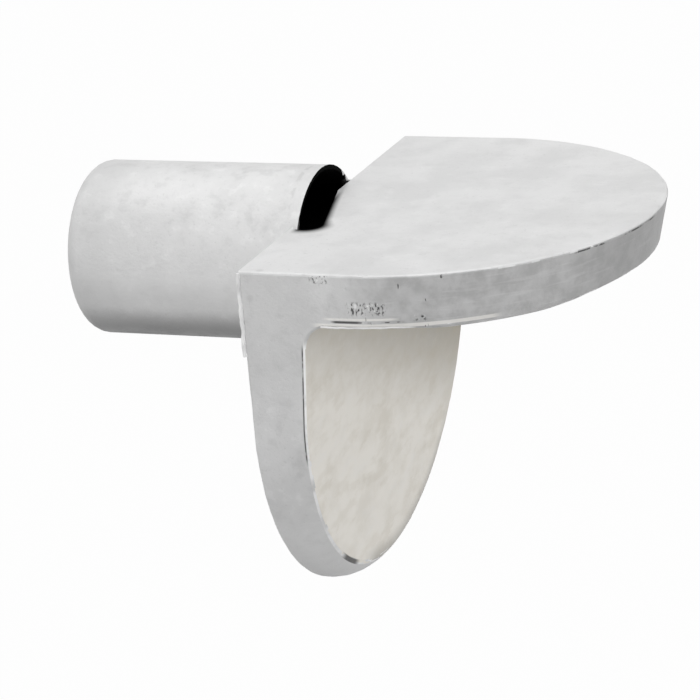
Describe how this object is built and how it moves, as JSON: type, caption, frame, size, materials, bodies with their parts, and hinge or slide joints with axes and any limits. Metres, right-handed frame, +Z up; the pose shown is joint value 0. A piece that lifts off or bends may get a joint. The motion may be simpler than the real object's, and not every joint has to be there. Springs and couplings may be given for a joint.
{
  "type": "shelf support pin",
  "caption": "Cast metal shelf support pin: a round pin plugs into a cabinet side, a flat rounded tongue carries the shelf and a rounded flange bears on the wall.",
  "frame": {"origin": "on the pin's axis, at the wall face of the flange", "axes": "+X out of the wall along the tongue, the pin runs along -X into the wall; +Y along the wall; +Z up, towards the shelf"},
  "size_m": [0.0168, 0.013, 0.0118],
  "materials": {
    "raw_casting": "raw tumbled casting, satin"
  },
  "bodies": {
    "root": {"shelf_pin": "raw_casting"}
  },
  "joints": []
}
